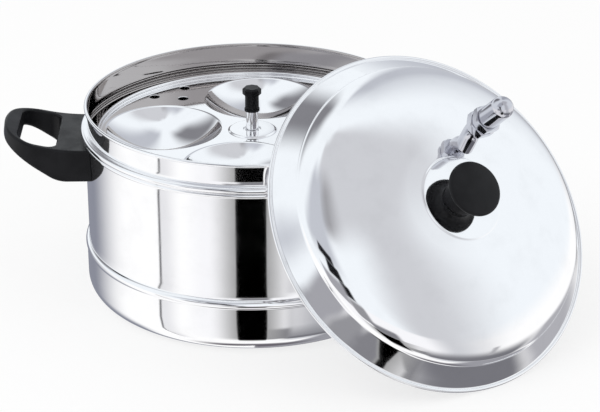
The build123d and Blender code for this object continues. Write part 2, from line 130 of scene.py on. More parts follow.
class Graph:
    """The nodes of one material or world."""

    def __init__(self, owner: bpy.types.ID) -> None:
        """Start an empty node tree.

        Args:
            owner: the material or world that holds the tree.
        """
        owner.use_nodes = True
        self.tree = owner.node_tree
        self.tree.nodes.clear()

    def node(
        self,
        kind: str,
        inputs: dict | None = None,
        settings: dict | None = None,
        output: int | str = 0,
    ) -> Socket:
        """Add a node.

        Args:
            kind: the node's type, after ShaderNode.
            inputs: values or sockets by the input's name or number.
            settings: its properties, set first.
            output: the output to return.

        Returns:
            The chosen output.
        """
        made = self.tree.nodes.new(f"ShaderNode{kind}")
        for name, value in (settings or {}).items():
            setattr(made, name, value)
        for name, value in (inputs or {}).items():
            if isinstance(value, Socket):
                self.tree.links.new(value.link, made.inputs[name])
            else:
                made.inputs[name].default_value = value
        return Socket(self, made.outputs[output] if made.outputs else None)

    def mixed(self, share: Value, first: Colour | Socket, second: Colour | Socket) -> Socket:
        """A colour between two colours, which the Mix node takes at its sockets 6 and 7.

        Args:
            share: 0 for the first colour, 1 for the second.
            first: the first colour.
            second: the second colour.

        Returns:
            The mixed colour.
        """
        ends = {
            name: colour if isinstance(colour, Socket) else (*colour, 1.0)
            for name, colour in ((6, first), (7, second))
        }
        return self.node("Mix", {0: share, **ends}, {"data_type": "RGBA"}, output=2)

    def vector(self, operation: str, *values: Socket | Triple, output: int | str = 0) -> Socket:
        """One Vector Math node on some values."""
        return self.node("VectorMath", dict(enumerate(values)), {"operation": operation}, output)

    def place(self) -> Socket:
        """The point's place in the object's own frame, in metres."""
        return self.node("TexCoord", output="Object")

    def noise(
        self, place: Socket, scale: float, detail: float, stretch: Triple = (1, 1, 1)
    ) -> Socket:
        """A noise from 0 to 1, of some cycles per metre, octaves and scale along each axis."""
        mapped = self.node("Mapping", {"Vector": place, "Scale": stretch})
        return self.node("TexNoise", {"Vector": mapped, "Scale": scale, "Detail": detail})

    def bump(self, height: Socket, distance: float) -> Socket:
        """The normal of a height, where a height of 1 stands for the distance in metres."""
        return self.node("Bump", {"Height": height, "Distance": distance})

    def finish_surface(self, inputs: dict) -> None:
        """End a material in one glossy shader with these inputs."""
        shader = self.node("BsdfPrincipled", inputs)
        self.node("OutputMaterial", {"Surface": shader})


@dataclass(frozen=True)
class PolishedSteel:
    """Mirror-polished sheet with the faint waves and hairlines of pressing and buffing."""

    name: str
    tint: Colour = (0.93, 0.93, 0.94)
    stain: Colour = (0.86, 0.86, 0.87)
    stain_share: float = 0.5
    roughness: float = 0.045
    roughness_range: float = 0.04
    worn_part: float = 0.6
    hairline_part: float = 0.4
    cloud_scale: float = 60.0
    cloud_octaves: float = 4.0
    worn_clouds: Pair = (0.45, 0.75)
    wave_scale: float = 14.0
    wave_depth: float = 0.00012
    hairline_scale: float = 900.0
    hairline_octaves: float = 2.0
    hairline_stretch: Triple = (1.0, 1.0, 0.04)
    hairline_depth: float = 0.0000015
    # painted shade inside: the darker colour that faces looking at the Z axis take, and the
    # facings where it starts and is full
    inner_side: Colour | None = None
    inside_shade_edge: Pair = (-0.2, -0.6)

    def material(self) -> Material:
        """Build the finish.

        Returns:
            The material.
        """
        made = bpy.data.materials.new(self.name)
        graph = Graph(made)
        place = graph.place()
        clouds = graph.noise(place, self.cloud_scale, self.cloud_octaves)
        hairlines = graph.noise(
            place, self.hairline_scale, self.hairline_octaves, self.hairline_stretch
        )
        waves = graph.noise(place, self.wave_scale, 1.0)
        worn = clouds.step(*self.worn_clouds)
        uneven = self.worn_part * worn + self.hairline_part * hairlines
        rough = self.roughness + self.roughness_range * uneven
        height = waves + hairlines * (self.hairline_depth / self.wave_depth)
        colour = graph.mixed(worn * self.stain_share, self.tint, self.stain)
        # painted shade: faces that look at the Z axis, the inside of the pot, darken towards the
        # shade colour
        if self.inner_side:
            colour = graph.mixed(self.inward(graph, place), colour, self.inner_side)
        graph.finish_surface(
            {
                "Base Color": colour,
                "Metallic": 1.0,
                "Roughness": rough,
                "Normal": graph.bump(height, self.wave_depth),
            }
        )
        return made

    def inward(self, graph: Graph, place: Socket) -> Socket:
        """How far the surface looks at the Z axis, which sets where the shade inside is painted.

        Args:
            graph: the material's nodes.
            place: the point's place.

        Returns:
            1 where the normal points at the axis, 0 where it points up, down or away.
        """
        normal = graph.node("TexCoord", output="Normal")
        away = graph.vector("NORMALIZE", graph.vector("MULTIPLY", place, (1, 1, 0)))
        facing = graph.vector("DOT_PRODUCT", away, normal, output="Value")
        return facing.step(*self.inside_shade_edge)


@dataclass(frozen=True)
class MouldedBakelite:
    """Black moulded bakelite with a soft sheen, fine orange peel and dulled patches."""

    name: str
    black: Colour = (0.0035, 0.0035, 0.0045)
    rubbed: Colour = (0.008, 0.008, 0.0095)
    roughness: float = 0.34
    roughness_range: float = 0.14
    refraction: float = 1.3
    cloud_scale: float = 70.0
    cloud_octaves: float = 5.0
    dull_clouds: Pair = (0.35, 0.7)
    peel_scale: float = 1100.0
    peel_octaves: float = 2.0
    peel_depth: float = 0.00003

    def material(self) -> Material:
        """Build the finish.

        Returns:
            The material.
        """
        made = bpy.data.materials.new(self.name)
        graph = Graph(made)
        place = graph.place()
        clouds = graph.noise(place, self.cloud_scale, self.cloud_octaves)
        peel = graph.noise(place, self.peel_scale, self.peel_octaves)
        dull = clouds.step(*self.dull_clouds)
        graph.finish_surface(
            {
                "Base Color": graph.mixed(dull, self.black, self.rubbed),
                "Roughness": self.roughness + self.roughness_range * dull,
                "IOR": self.refraction,
                "Normal": graph.bump(peel, self.peel_depth),
            }
        )
        return made


@dataclass(frozen=True)
class Finishes:
    """The materials of the pieces."""

    steel: Material
    # the pot's steel, with painted shade on its inside
    inside_shaded: Material
    plated: Material
    bakelite: Material


# Surfaces


def directions(angles: np.ndarray) -> np.ndarray:
    """The unit direction at each angle, as rows of its cosine and its sine."""
    return np.column_stack([np.cos(angles), np.sin(angles)])


def all_round(segments: int) -> np.ndarray:
    """The unit directions of even steps round a full turn."""
    return directions(FULL_TURN * np.arange(segments) / segments)


class Outline:
    """A run of straight and round stretches in radius and height, kept as points."""

    arc_step = math.radians(4)

    def __init__(self, radius: float, height: float) -> None:
        """Start a run at a point."""
        self.points = np.array([[radius, height]])

    def line(self, radius: float, height: float) -> Outline:
        """Go straight to a point."""
        self.points = np.vstack([self.points, [radius, height]])
        return self

    def arc(self, middle: Pair, end: Pair) -> Outline:
        """Go round the circle through the last point, a middle point and an end.

        The centre is equally far from all three, and the points lie at even angles round it, on
        the side of the middle point.

        Args:
            middle: a point on the way.
            end: where the arc ends.

        Returns:
            The same outline.
        """
        first, mid, last = (complex(*point) for point in (self.points[-1], middle, end))
        ratio = (last - first) / (mid - first)
        offset = (mid - first) * (ratio - abs(ratio) ** 2) / (2j * ratio.imag)
        centre = first + offset
        spread = (last - centre) / (first - centre)
        sweep = math.atan2(spread.imag, spread.real)
        turn = ((mid - centre) / (first - centre)).imag
        if sweep * turn < 0:
            sweep += math.copysign(FULL_TURN, turn)
        steps = max(2, round(abs(sweep) / self.arc_step))
        angles = sweep * np.arange(1, steps + 1) / steps
        round_points = centre + (first - centre) * np.exp(1j * angles)
        added = np.column_stack([round_points.real, round_points.imag])
        self.points = np.vstack([self.points, added])
        return self

    def bend(self, radius: float, height: float, slope: float | None = None) -> Outline:
        """Go round a circle that leaves along a direction, to an end point.

        The chord lies at half the arc's turn from that direction, so the arc's middle stands off
        the chord's by half the chord times the tangent of half that angle.

        Args:
            radius: the end's radius.
            height: the end's height.
            slope: the direction to leave in, in degrees; the last stretch's by default.

        Returns:
            The same outline.
        """
        start = complex(*self.points[-1])
        if slope is None:
            leaving = start - complex(*self.points[-2])
        else:
            leaving = complex(math.cos(math.radians(slope)), math.sin(math.radians(slope)))
        leaving /= abs(leaving)
        end = complex(radius, height)
        chord = end - start
        turned = chord / leaving
        swing = math.atan2(turned.imag, turned.real)
        middle = start + chord / 2 + 0.5j * chord * -math.tan(swing / 2)
        return self.arc((middle.real, middle.imag), (radius, height))


def softened(
    points: np.ndarray,
    reach: float,
    spacing: float = 0.25,
    turn: float = 4.0,
    longest: float = 12.0,
) -> np.ndarray:
    """Round every corner of a run of points.

    The run is sampled at an even spacing along its length and blurred with a bell of the given
    reach, its ends held by mirroring it through them. Then points stay only where the direction
    has turned or the run has gone on far enough, ends included.

    Args:
        points: the run, as rows of radius and height.
        reach: the bell's half width at its inflection, in millimetres.
        spacing: the sampling distance.
        turn: the turn, in degrees, that earns a point.
        longest: the distance that earns a point.

    Returns:
        The rounded run.
    """
    lengths = np.concatenate([[0], np.cumsum(np.hypot(*np.diff(points, axis=0).T))])
    count = max(8, int(lengths[-1] / spacing))
    places = np.linspace(0, lengths[-1], count)
    even = np.column_stack([np.interp(places, lengths, column) for column in points.T])
    half = max(2, int(4 * reach / spacing))
    before = 2 * even[0] - even[half:0:-1]
    after = 2 * even[-1] - even[-2 : -half - 2 : -1]
    bell = np.exp(-0.5 * (np.arange(-half, half + 1) * spacing / reach) ** 2)
    bell /= bell.sum()
    padded = np.vstack([before, even, after])
    blurred = np.column_stack([np.convolve(column, bell, "valid") for column in padded.T])
    headings = np.unwrap(np.arctan2(*np.diff(blurred, axis=0).T[::-1]))
    turned = np.degrees(np.concatenate([[0], np.cumsum(np.abs(np.diff(headings))), [0]]))
    turned[-1] = turned[-2]
    earned = np.floor(turned / turn + np.arange(len(blurred)) * spacing / longest)
    keep = np.concatenate([[True], np.diff(earned) > 0])
    keep[-1] = True
    bending = np.roll(turned, -1) - turned > turn / 4
    keep[1:-1] |= (np.roll(keep, -1) & bending)[1:-1]
    return blurred[keep]


def run_normals(points: np.ndarray, closed: bool) -> np.ndarray:
    """The unit normals of a run, to the right of its direction.

    Args:
        points: the run.
        closed: whether the run ends where it starts.

    Returns:
        One normal per point, the mean of the two stretches beside it, the shorter one counting
        more so that straight stretches don't drag a bend's normals.
    """
    if closed:
        steps = np.diff(points, axis=0, prepend=points[-1:], append=points[:1])
    else:
        inner = np.diff(points, axis=0)
        steps = np.vstack([inner[0], inner, inner[-1]])
    lengths = np.hypot(*steps.T)[:, None]
    units = steps / lengths
    tangents = units[:-1] * lengths[1:] + units[1:] * lengths[:-1]
    tangents /= np.hypot(*tangents.T)[:, None]
    return np.column_stack([tangents[:, 1], -tangents[:, 0]])


def other_face(wall: np.ndarray, sheet: float) -> np.ndarray:
    """The other face of a sheet, travelled the other way, without what would pass the axis.

    Args:
        wall: the face that is known.
        sheet: the sheet's thickness.

    Returns:
        The run a thickness to the left of the wall; what starts on the axis stays on it.
    """
    inside = wall - run_normals(wall, closed=False) * sheet
    inside[np.isclose(wall[:, 0], 0), 0] = 0.0
    return inside[inside[:, 0] >= 0][::-1]


def linked(name: str, data: bpy.types.ID) -> bpy.types.Object:
    """Put an object of some data in the scene.

    Args:
        name: the object's name.
        data: its mesh, camera or lamp.

    Returns:
        The object.
    """
    made = bpy.data.objects.new(name, data)
    bpy.context.scene.collection.objects.link(made)
    return made


@dataclass
class Surface:
    """Points, unit normals and faces of a mesh, in millimetres."""

    points: np.ndarray
    normals: np.ndarray
    faces: list[np.ndarray]

    def moved(self, turn: np.ndarray, shift: Sequence[float]) -> Surface:
        """The surface turned by a three by three rotation and then shifted."""
        return Surface(self.points @ turn.T + np.array(shift), self.normals @ turn.T, self.faces)

    def joined(self, *others: Surface) -> Surface:
        """One surface of this and others, where points that coincide become one.

        Args:
            others: the surfaces to add.

        Returns:
            The joined surface, its normals the mean of the coinciding points'.
        """
        parts = (self, *others)
        offsets = np.cumsum([0] + [len(part.points) for part in parts])
        points = np.vstack([part.points for part in parts])
        normals = np.vstack([part.normals for part in parts])
        keys = np.round(points * MERGE_STEPS).astype(np.int64)
        unique, first, inverse = np.unique(keys, axis=0, return_index=True, return_inverse=True)
        summed = np.zeros((len(unique), 3))
        np.add.at(summed, inverse.ravel(), normals)
        summed /= np.linalg.norm(summed, axis=1)[:, None]
        faces = [
            inverse.ravel()[group + offset]
            for part, offset in zip(parts, offsets)
            for group in part.faces
        ]
        return Surface(points[first], summed, faces)

    def piece(self, name: str) -> bpy.types.Object:
        """Make the surface an object at the origin, in metres, with its own smooth normals.

        Args:
            name: the piece's name.

        Returns:
            The object.
        """
        mesh = bpy.data.meshes.new(name)
        faces = [face for group in self.faces for face in group.tolist()]
        mesh.from_pydata((self.points * MILLIMETRE).tolist(), [], faces)
        mesh.polygons.foreach_set("use_smooth", np.ones(len(faces), bool))
        mesh.normals_split_custom_set_from_vertices(self.normals.tolist())
        return linked(name, mesh)


def turn_about_z(degrees: float) -> np.ndarray:
    """The rotation about the Z axis by an angle."""
    cosine, sine = directions(np.radians([degrees]))[0]
    return np.array([[cosine, -sine, 0], [sine, cosine, 0], [0, 0, 1]])


def turned_surface(
    outline: np.ndarray, segments: int, closed: bool = False, normals: np.ndarray | None = None
) -> Surface:
    """Turn an outline about the Z axis.

    A point at angle a is (radius cos a, radius sin a, height). Points on the axis become one.

    Args:
        outline: rows of radius and height, travelled with the solid on the left.
        segments: the number of steps round the axis.
        closed: whether the outline ends where it starts.
        normals: the outline's normals, worked out from its points by default.

    Returns:
        The surface.
    """
    flat_normals = run_normals(outline, closed) if normals is None else normals
    around = all_round(segments)
    on_axis = np.isclose(outline[:, 0], 0)
    upright = [[0, 1]] * np.sign(flat_normals[:, 1:])
    flat_normals = np.where(on_axis[:, None], upright, flat_normals)

    def spread(rows: np.ndarray) -> np.ndarray:
        """Carry rows of radius and height round the axis."""
        heights = np.broadcast_to(rows[:, 1:], (segments, len(rows), 1))
        return np.concatenate([around[:, None] * rows[:, :1], heights], axis=2)

    grid = np.arange(segments * len(outline)).reshape(segments, len(outline))
    grid[:, on_axis] = grid[0, on_axis]
    columns = np.arange(len(outline))
    nexts = np.roll(columns, -1)
    if not closed:
        columns, nexts = columns[:-1], nexts[:-1]
    rows_next = np.roll(grid, -1, axis=0)
    quads = np.stack(
        [grid[:, columns], rows_next[:, columns], rows_next[:, nexts], grid[:, nexts]], axis=-1
    )
    starts, ends = on_axis[columns], on_axis[nexts]
    faces = [
        quads[:, ~starts & ~ends].reshape(-1, 4),
        quads[:, starts & ~ends][..., [0, 2, 3]].reshape(-1, 3),
        quads[:, ends & ~starts][..., [0, 1, 2]].reshape(-1, 3),
    ]
    points = spread(outline).reshape(-1, 3)
    vectors = spread(flat_normals).reshape(-1, 3)
    used, inverse = np.unique(grid, return_inverse=True)
    lookup = np.zeros(grid.size, int)
    lookup[used] = np.arange(len(used))
    return Surface(points[used], vectors[used], [lookup[group] for group in faces if len(group)])


# The object


class Slot(Enum):
    """The names of the pieces' materials."""

    STEEL = "steel"
    BAKELITE = "bakelite"


class Assembly:
    """A sub-assembly whose pieces replace the frame's nodes and ride on its bodies."""

    def __init__(self, nodes: dict[str, bpy.types.Object], finishes: Finishes) -> None:
        """Keep the frame's objects by name, and the finishes."""
        self.nodes = nodes
        self.finishes = finishes

    def place(self, surface: Surface, name: str, node: str, body: str, finish: Material) -> None:
        """Put a surface in a node's stead.

        Args:
            surface: the piece's surface, in its place.
            name: the piece's name.
            node: the node that it stands for.
            body: the body that it rides on.
            finish: its material.
        """
        made = surface.piece(name)
        made.data.materials.append(finish)
        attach(made, body)
        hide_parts(node)
        slot = Slot.BAKELITE if finish == self.finishes.bakelite else Slot.STEEL
        LOG.info("%s stands for %s on %s", name, node, body)

    def dress(self, finish: Material, *names: str) -> None:
        """Give nodes whose shape is right their finish.

        Args:
            finish: the material.
            names: the nodes.
        """
        for name in names:
            data = self.nodes[name].data
            data.materials.clear()
            data.materials.append(finish)
            LOG.info("%s keeps its shape, in %s", name, finish.name)


@dataclass
class Pot:
    """The pressed shell: rounded base, foot band and ring, swaged beads, neck and rolled rim."""

    sheet: float = 0.8
    height: float = 130.2
    rim_radius: float = 110.15
    rim_roll: float = 1.2
    neck_radius: float = 108.6
    body_radius: float = 110.3
    band_radius: float = 111.9
    base_corner: float = 12.0
    ring: Triple = (32.2, 37.4, 112.7)
    bead_heights: Triple = (108.1, 110.9, 115.4)
    bead_radii: Triple = (112.1, 113.0, 110.9)
    softness: float = 0.35
    neck_stops: Pair = (2.0, 1.0)
    roll_steps: int = 48
    segments: int = 256

    def outline(self) -> np.ndarray:
        """The shell's outline, from the middle of its outside to the middle of its inside.

        The outside is straight walls with arcs for the base's corner, the foot ring and the two
        beads, softened. The inside is that run a sheet further in, and a roll over the rim joins
        them. The neck has two points of its own under the roll, in softnesses below it, so that
        the roll's normals don't reach down the neck.

        Returns:
            Rows of radius and height.
        """
        corner = self.base_corner
        inset = corner * ARC_INSET
        low, valley, top = self.bead_heights
        low_radius, high_radius, valley_radius = self.bead_radii
        roll_centre = self.height - self.rim_roll
        outer = Outline(0, 0).line(self.band_radius - corner, 0)
        outer.arc((self.band_radius - inset, inset), (self.band_radius, corner))
        ring_bottom, ring_top, ring_radius = self.ring
        outer.line(self.band_radius, ring_bottom)
        outer.arc((ring_radius, (ring_bottom + ring_top) / 2), (self.body_radius, ring_top))
        outer.line(self.body_radius, low)
        outer.arc((low_radius, (low + valley) / 2), (valley_radius, valley))
        outer.arc((high_radius, (valley + top) / 2), (valley_radius, top))
        outer.line(self.neck_radius, top)
        wall = softened(outer.line(self.neck_radius, roll_centre).points, self.softness)
        inside = other_face(wall, self.sheet)
        ring_middle = self.rim_radius - self.rim_roll
        reach = math.asin((self.neck_radius - ring_middle) / self.rim_roll)
        inner_reach = math.asin((ring_middle - self.neck_radius + self.sheet) / self.rim_roll)
        angles = np.linspace(reach - UP, DOWN - inner_reach, self.roll_steps)
        roll = directions(angles) * self.rim_roll
        roll += (ring_middle, roll_centre)
        stops = roll[0, 1] - self.softness * np.array(self.neck_stops)
        neck = np.column_stack([np.full(2, self.neck_radius), stops])
        inner_side = (neck - (self.sheet, 0.0))[::-1]
        wall, inside = wall[wall[:, 1] < stops[0]], inside[inside[:, 1] < stops[0]]
        return np.vstack([wall, neck, roll, inner_side, inside])

    def surface(self) -> Surface:
        """The shell's surface."""
        return turned_surface(self.outline(), self.segments)


class PotAssembly(Assembly):
    """The pot with its handles, brackets and screws."""

    def build(self) -> None:
        """Make the shell with painted shade inside, and dress the handles, brackets and screws."""
        self.place(Pot().surface(), "pot_wall", "pot_shell", "pot", self.finishes.inside_shaded)
        for side in ("left", "right"):
            self.dress(self.finishes.steel, f"handle_bracket_{side}", f"handle_screw_{side}")
            self.dress(self.finishes.bakelite, f"handle_{side}")


@dataclass
class Lid:
    """The domed lid's shell, in the lid's own frame and leaning."""

    sheet: float = 0.8
    radius: float = 112.2
    roll: float = 1.5
    rim_radius: float = 111.9
    rim_roll: float = 1.1
    skirt_foot: float = 109.9
    skirt_top: Pair = (98.8, 13.7)
    shoulder: Pair = (96.4, 18.6)
    dome_edge: Pair = (87.0, 25.6)
    seat_radius: float = 26.7
    seat_step: float = 0.5
    dome_start_slope: float = -2.0
    height: float = 41.0
    softness: float = 0.4
    foot_stops: Pair = (1.0, 1.2)
    roll_end: float = 135.0
    roll_steps: int = 48
    segments: int = 256
    lean: float = 48.8
    facing: float = -56.8
    distance: float = 144.34
    bearing: float = -40.1
    floor_gap: float = 0.1

    def outline(self) -> np.ndarray:
        """The shell's outline, from the middle of its inside to the middle of its outside.

        The outside is a flat seat, arcs over the dome, the shoulder and into the skirt, and the
        straight skirt, softened. The inside is that run a sheet further in, and the rim's ring
        joins them. The skirt's foot has two points of its own, in rim rolls from its end, so
        that the wall meets the ring squarely.

        Returns:
            Rows of radius and height.
        """
        outer = Outline(0, self.height).line(self.seat_radius, self.height)
        outer.line(self.seat_radius + self.seat_step, self.height - self.seat_step)
        outer.bend(*self.dome_edge, slope=self.dome_start_slope)
        outer.bend(*self.shoulder).bend(*self.skirt_top)
        outer.line(self.skirt_foot, self.roll)
        wall = softened(outer.points, self.softness)[::-1]
        way = wall[1] - wall[0]
        stops = self.rim_roll * np.array(self.foot_stops)
        foot = wall[0] + way * stops[:, None] / np.hypot(*way)
        wall = np.vstack([foot, wall[wall[:, 1] > foot[-1, 1]]])
        inside = other_face(wall, self.sheet)
        middle = self.rim_radius - self.rim_roll
        ways = directions(np.linspace(-math.pi, math.radians(self.roll_end), self.roll_steps))
        return np.vstack([inside, ways * self.rim_roll + (middle, self.rim_roll), wall])

    def frame(self) -> tuple[np.ndarray, np.ndarray]:
        """Where the lid leans, its rim on the floor and its dome facing away from the pot.

        The lift puts the lowest point of the rim's roll the floor gap above the floor.

        Returns:
            The turn, whose columns are uphill, sideways and outwards, and the shift.
        """
        facing, tilt = math.radians(self.facing), math.radians(self.lean)
        bearing = math.radians(self.bearing)
        flat = np.array([math.cos(facing), math.sin(facing), 0.0])
        up = np.array([0.0, 0.0, 1.0])
        outwards = flat * math.sin(tilt) + up * math.cos(tilt)
        uphill = up * math.sin(tilt) - flat * math.cos(tilt)
        turn = np.column_stack([uphill, np.cross(outwards, uphill), outwards])
        lift = (self.radius - self.roll) * math.sin(tilt) + self.roll * (1 - math.cos(tilt))
        across = self.distance * np.array([math.cos(bearing), math.sin(bearing)])
        return turn, np.array([*across, lift + self.floor_gap])

    def surface(self) -> Surface:
        """The shell's surface, leaning."""
        return turned_surface(self.outline(), self.segments).moved(*self.frame())


@dataclass
class Knob:
    """The mushroom knob on the lid's seat."""

    radius: float = 17.6
    height: float = 18.6
    edge_height: float = 15.2
    edge: float = 2.0
    neck_radius: float = 10.0
    foot_radius: float = 11.6
    ring_radius: float = 11.0
    ring_height: float = 5.6
    ring_round: float = 0.9
    waist_slope: float = 85.2
    softness: float = 0.3
    turn_step: float = 7.0
    segments: int = 80

    def surface(self) -> Surface:
        """The knob's surface, its foot at Z = 0 on the axis.

        Its outline goes out over the foot, in to the neck, round the ring, out along the waist's
        arc, round the edge and back over a low crown's arc, softened.

        Returns:
            The surface.
        """
        under = self.radius - self.edge
        outline = Outline(0, 0).line(self.foot_radius, 0)
        outline.line(self.neck_radius, self.ring_height - self.ring_round)
        ring_top = self.ring_height + self.ring_round
        outline.arc((self.ring_radius, self.ring_height), (self.neck_radius, ring_top))
        outline.bend(under, self.edge_height - self.edge, slope=self.waist_slope)
        outline.arc((self.radius, self.edge_height), (under, self.edge_height + self.edge))
        crown_slope = 2 * math.atan2(self.height - self.edge_height - self.edge, under)
        outline.bend(0, self.height, slope=180 - math.degrees(crown_slope))
        run = softened(outline.points, self.softness, self.softness / 2, self.turn_step)
        return turned_surface(run, self.segments)


class LidAssembly(Assembly):
    """The lid with its knob, vent pipe and whistle."""

    def build(self) -> None:
        """Make the shell and the knob, and dress the vent, the whistle and the fastening."""
        lid, finishes = Lid(), self.finishes
        self.place(lid.surface(), "lid_dome", "lid_shell", "lid", finishes.steel)
        knob = Knob().surface().moved(np.eye(3), (0, 0, lid.height)).moved(*lid.frame())
        self.place(knob, "lid_knob_cap", "lid_knob", "lid", finishes.bakelite)
        self.dress(finishes.steel, "knob_washer", "knob_screw")
        self.dress(finishes.plated, "vent_pipe", "vent_collar")
        self.dress(finishes.plated, "whistle_body", "whistle_cap", "whistle_pin")


@dataclass
class Patch:
    """A part of a plate that meets the flat web in a circle."""

    surface: Surface
    radius: float
    segments: int
    spot: Pair = (0.0, 0.0)

    def loop(self) -> np.ndarray:
        """The circle where the part meets the web, as rows of X and Y."""
        return all_round(self.segments) * self.radius + self.spot


@dataclass
class Plate:
    """A pressed plate with four cups, a raised hub and three steam holes between cups."""

    sheet: float = 0.8
    radius: float = 103.0
    roll: float = 1.2
    rise: float = 1.6
    cup_ring: float = 59.0
    cup_radius: float = 38.5
    cup_depth: float = 16.5
    cup_lip: float = 2.5
    cup_brim: float = 1.9
    cup_count: int = 4
    hub_radius: float = 14.8
    hub_rise: float = 1.2
    hub_hole: float = 5.7
    hub_margin: float = 1.4
    steam_radius: float = 3.55
    steam_rings: Pair = (75.3, 91.5)
    steam_spread: float = 8.2
    softness: float = 0.3
    bowl_steps: int = 30
    lip_steps: int = 8
    hole_steps: int = 7
    hub_steps: int = 9
    roll_steps: int = 40
    cup_segments: int = 96
    hole_segments: int = 24
    hub_segments: int = 64
    rim_segments: int = 192

    def cup(self) -> Patch:
        """A cup's two faces, hanging from Z = 0, from its middle to its flat brim.

        The bowl is a sphere's cap, and a lip of round section joins it to the brim: its middle
        lies as far from the sphere's as the two radii together.

        Returns:
            The cup, open at the brim.
        """
        bowl = (self.cup_radius**2 + self.cup_depth**2) / (2 * self.cup_depth)
        centre = bowl - self.cup_depth
        lip_middle = math.sqrt((bowl + self.cup_lip) ** 2 - (centre + self.cup_lip) ** 2)
        swing = math.atan2(lip_middle, centre + self.cup_lip)
        bowl_way = directions(UP + np.linspace(0, swing, self.bowl_steps))
        lip_way = directions(UP + np.linspace(swing, 0, self.lip_steps + 1)[1:])
        radius = self.cup_radius + self.cup_brim
        bowl_run = (0, centre) - bowl_way * bowl
        lip_run = lip_way * self.cup_lip + (lip_middle, -self.cup_lip)
        top = np.vstack([bowl_run, lip_run, [[radius, 0]]])
        up = np.vstack([bowl_way, lip_way, [[0, 1]]])
        under = top - up * self.sheet
        upper = turned_surface(top[::-1], self.cup_segments, normals=up[::-1])
        lower = turned_surface(under, self.cup_segments, normals=-up)
        return Patch(upper.joined(lower), radius, self.cup_segments)

    def steam_hole(self) -> Patch:
        """The half-round edge of the sheet round a steam hole.

        Returns:
            The edge, open where it meets the web.
        """
        half = self.sheet / 2
        ways = directions(np.linspace(UP, DOWN, self.hole_steps))
        radius = self.steam_radius + half
        edge = turned_surface(ways * half + (radius, -half), self.hole_segments, normals=ways)
        return Patch(edge, radius, self.hole_segments)

    def hub(self) -> Patch:
        """The raised hub, from the web's top face round its hole's edge to its underside.

        It rises on a slope whose corners are softened, goes half round the hole's edge and
        comes back a sheet lower.

        Returns:
            The hub, open where it meets the web.
        """
        half = self.sheet / 2
        start = self.hub_radius + self.hub_rise + self.hub_margin
        inner = self.hub_hole + half
        corners = [(start, 0), (self.hub_radius + self.hub_rise, 0)]
        corners += [(self.hub_radius, self.hub_rise), (inner, self.hub_rise)]
        slope = softened(np.array(corners, float), self.softness, self.softness / 3)
        ways = run_normals(slope, closed=False)
        ways[0], ways[-1] = (0, 1), (0, 1)
        edge_ways = directions(np.linspace(UP, DOWN, self.hub_steps)[1:-1])
        edge = edge_ways * half + (inner, self.hub_rise - half)
        run = np.vstack([slope, edge, (slope - ways * self.sheet)[::-1]])
        all_ways = np.vstack([ways, edge_ways, -ways[::-1]])
        ring = turned_surface(run, self.hub_segments, normals=all_ways)
        return Patch(ring, start, self.hub_segments)

    def rim(self) -> Patch:
        """The turned-up edge with its roll, from the web's underside round to its top face.

        The sheet slopes up to the middle of the roll's ring, and each face ends where it meets
        the ring.

        Returns:
            The edge, open where it meets the web.
        """
        start = self.cup_ring + self.cup_radius + self.cup_brim + self.softness
        middle = np.array([self.radius - self.roll, self.rise])
        corners = np.array([(start, 0), (middle[0] - self.rise, 0), tuple(middle)])
        slope = softened(corners, self.softness, self.softness / 3)
        ways = -run_normals(slope, closed=False)
        ways[0] = (0, 1)
        under = slope - ways * self.sheet
        clear, under_clear = (np.hypot(*(run - middle).T) > self.roll for run in (slope, under))
        first = math.atan2(*(slope[clear][-1] - middle)[::-1]) % FULL_TURN
        last = math.atan2(*(under[under_clear][-1] - middle)[::-1])
        ring_ways = directions(np.linspace(first, last, self.roll_steps)[1:-1])
        ring = ring_ways * self.roll + middle
        run = np.vstack([slope[clear], ring, under[under_clear][::-1]])
        all_ways = np.vstack([ways[clear], ring_ways, -ways[under_clear][::-1]])
        edge = turned_surface(run[::-1], self.rim_segments, normals=all_ways[::-1])
        return Patch(edge, start, self.rim_segments)

    def web(self, patches: list[Patch]) -> Surface:
        """The flat sheet between the hub, the cups, the holes and the rim, both faces.

        The circles' points are joined in triangles, of which those inside the rim's circle and
        outside all the others stay.

        Args:
            patches: the parts that it meets, the rim last.

        Returns:
            The surface.
        """
        loops = [patch.loop() for patch in patches]
        flat = np.vstack(loops)
        starts = np.cumsum([0] + [len(loop) for loop in loops[:-1]])
        edges = np.vstack([
            np.column_stack([np.arange(len(loop)), np.roll(np.arange(len(loop)), -1)]) + start
            for loop, start in zip(loops, starts)
        ])
        spots = [Vector(spot) for spot in flat.tolist()]
        cut = delaunay_2d_cdt(spots, edges.tolist(), [], 0, CUT_REACH)
        sources = np.array([source[0] for source in cut[3]])
        triangles = sources[np.array(cut[2])]
        middles = flat[triangles].mean(axis=1)
        inside = np.hypot(*middles.T) < patches[-1].radius
        for patch in patches[:-1]:
            inside &= np.hypot(*(middles - patch.spot).T) > patch.radius
        triangles = triangles[inside]
        spans = flat[triangles][:, 1:] - flat[triangles][:, :1]
        facing_up = spans[:, 0, 0] * spans[:, 1, 1] > spans[:, 0, 1] * spans[:, 1, 0]
        triangles = np.where(facing_up[:, None], triangles, triangles[:, ::-1])
        up = np.tile([0.0, 0.0, 1.0], (len(flat), 1))
        top = np.column_stack([flat, np.zeros(len(flat))])
        upper = Surface(top, up, [triangles])
        lower = Surface(top - (0, 0, self.sheet), -up, [triangles[:, ::-1]])
        return upper.joined(lower)

